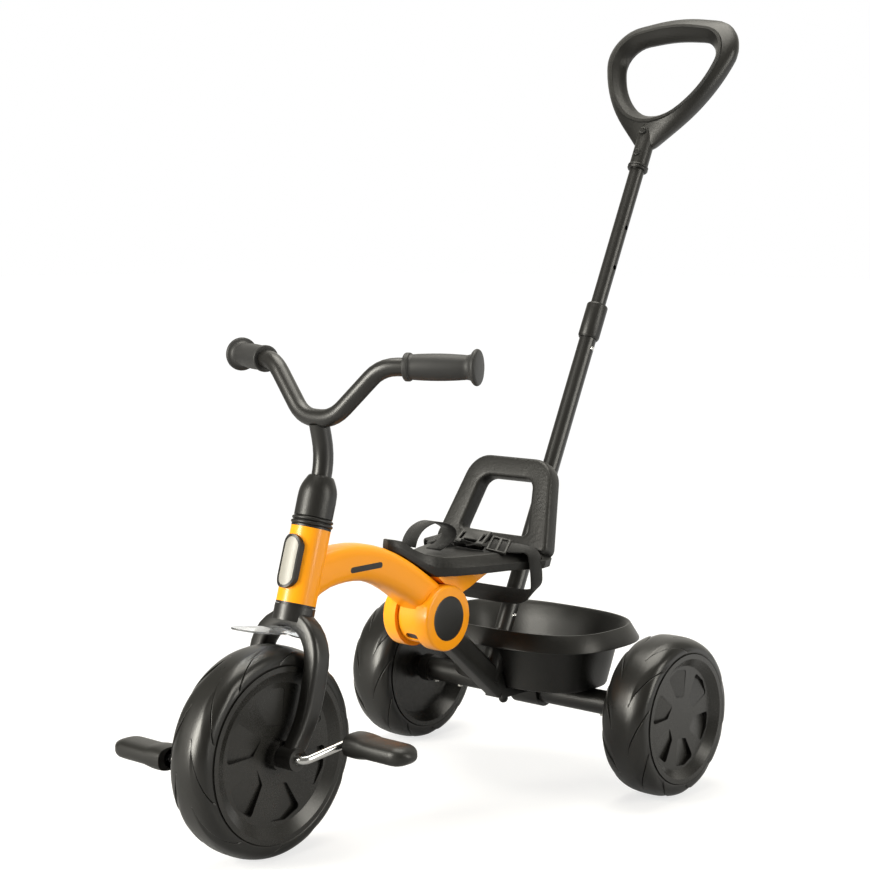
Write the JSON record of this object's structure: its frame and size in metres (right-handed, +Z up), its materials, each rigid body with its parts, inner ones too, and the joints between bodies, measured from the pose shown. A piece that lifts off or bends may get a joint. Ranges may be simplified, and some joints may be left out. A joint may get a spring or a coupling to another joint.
{
  "type": "toddler push-along trike",
  "caption": "Folding toddler trike with a hinged frame, steering front wheel with pedals, moulded seat with harness, rear tray and telescopic push bar",
  "frame": {"origin": "middle of the bounding box on the ground", "axes": "+X is the rider's left, -Y is forward, +Z is up"},
  "size_m": [0.487, 0.9541, 1.0031],
  "materials": {
    "orange_paint": "smooth glossy orange paint",
    "black_paint": "satin black powder coat",
    "black_plastic": "matte moulded black plastic",
    "wheel_plastic": "satin moulded black plastic",
    "foam_tyre": "matte closed-cell foam with shallow swirl grooves",
    "grip_foam": "soft matte foam",
    "clear_plastic": "clear moulded plastic",
    "lamp_silver": "silver insert",
    "chrome": "bright chrome plate",
    "zinc_steel": "zinc-plated steel",
    "webbing": "woven black webbing"
  },
  "bodies": {
    "frame": {"main_frame": "orange_paint", "head_bushes": "black_plastic", "lamp_bezel": "black_plastic", "lamp_insert": "lamp_silver", "beam_inlays": "black_plastic", "hinge_pin": "zinc_steel", "hinge_caps": "black_plastic"},
    "steering": {"fork": "black_paint", "fork_bushes": "wheel_plastic", "mudguard": "clear_plastic", "mudguard_screw": "zinc_steel", "stem": "black_paint", "stem_collar": "black_plastic", "handlebar": "black_paint", "grip_left": "grip_foam", "grip_right": "grip_foam"},
    "front_wheel": {"front_tyre": "foam_tyre", "front_wheel_left": "wheel_plastic", "front_wheel_right": "wheel_plastic", "crank": "chrome"},
    "left_pedal": {"pedal_left": "black_plastic"},
    "right_pedal": {"pedal_right": "black_plastic"},
    "rear": {"seat_bracket": "orange_paint", "seat_pan": "black_plastic", "backrest": "black_plastic", "seat_screws": "zinc_steel", "waist_belt": "webbing", "crotch_strap": "webbing", "belt_buckle": "black_plastic", "belt_sliders": "black_plastic", "rear_leg": "black_plastic", "axle_housing": "black_paint", "housing_screws": "zinc_steel", "rear_axle": "zinc_steel", "axle_clips": "zinc_steel", "tray": "black_plastic", "tray_bolt": "zinc_steel", "tray_nut": "black_plastic", "push_stub": "zinc_steel"},
    "fold_release": {"fold_button": "black_plastic"},
    "rear_wheel_left": {"rear_tyre_left": "foam_tyre", "rear_wheel_left_outer": "wheel_plastic", "rear_wheel_left_inner": "wheel_plastic"},
    "rear_wheel_right": {"rear_tyre_right": "foam_tyre", "rear_wheel_right_outer": "wheel_plastic", "rear_wheel_right_inner": "wheel_plastic"},
    "push_bar": {"push_tube_lower": "black_paint", "telescope_collar": "black_plastic"},
    "socket_release": {"socket_button": "chrome"},
    "telescope_release": {"telescope_button": "chrome"},
    "push_upper": {"push_tube_upper": "black_paint", "push_handle": "black_plastic", "handle_screws": "black_paint"}
  },
  "joints": [
    {"name": "fold", "type": "hinge", "parent": "frame", "child": "rear", "pos_m": [0, -0.07841, 0.232], "axis": [-1, 0, 0], "range_deg": [0, 80]},
    {"name": "steer", "type": "hinge", "parent": "frame", "child": "steering", "pos_m": [0, -0.30336, 0.28], "axis": [0, 0.289, 0.9573], "range_deg": [-40, 40]},
    {"name": "front_wheel_spin", "type": "hinge", "parent": "steering", "child": "front_wheel", "pos_m": [0, -0.35741, 0.12], "axis": [1, 0, 0], "continuous": true},
    {"name": "left_pedal_spin", "type": "hinge", "parent": "front_wheel", "child": "left_pedal", "pos_m": [0.1235, -0.29206, 0.12918], "axis": [1, 0, 0], "continuous": true},
    {"name": "right_pedal_spin", "type": "hinge", "parent": "front_wheel", "child": "right_pedal", "pos_m": [-0.1235, -0.42277, 0.11081], "axis": [1, 0, 0], "continuous": true},
    {"name": "rear_wheel_left_spin", "type": "hinge", "parent": "rear", "child": "rear_wheel_left", "pos_m": [0.21, 0.13459, 0.1], "axis": [1, 0, 0], "continuous": true},
    {"name": "rear_wheel_right_spin", "type": "hinge", "parent": "rear", "child": "rear_wheel_right", "pos_m": [-0.21, 0.13459, 0.1], "axis": [1, 0, 0], "continuous": true},
    {"name": "push_bar_lift", "type": "slide", "parent": "rear", "child": "push_bar", "axis": [0, 0.4384, 0.8988], "range_m": [0, 0.09]},
    {"name": "telescope", "type": "slide", "parent": "push_bar", "child": "push_upper", "axis": [0, 0.4384, 0.8988], "range_m": [-0.18, 0]},
    {"name": "socket_button_press", "type": "slide", "parent": "push_bar", "child": "socket_release", "axis": [-1, 0, 0], "range_m": [0, 0.0024], "stiffness_N_per_m": 600},
    {"name": "telescope_button_press", "type": "slide", "parent": "push_bar", "child": "telescope_release", "axis": [-1, 0, 0], "range_m": [0, 0.0024], "stiffness_N_per_m": 600},
    {"name": "fold_button_press", "type": "slide", "parent": "rear", "child": "fold_release", "axis": [0, 0.7314, 0.682], "range_m": [0, 0.004], "stiffness_N_per_m": 600}
  ]
}
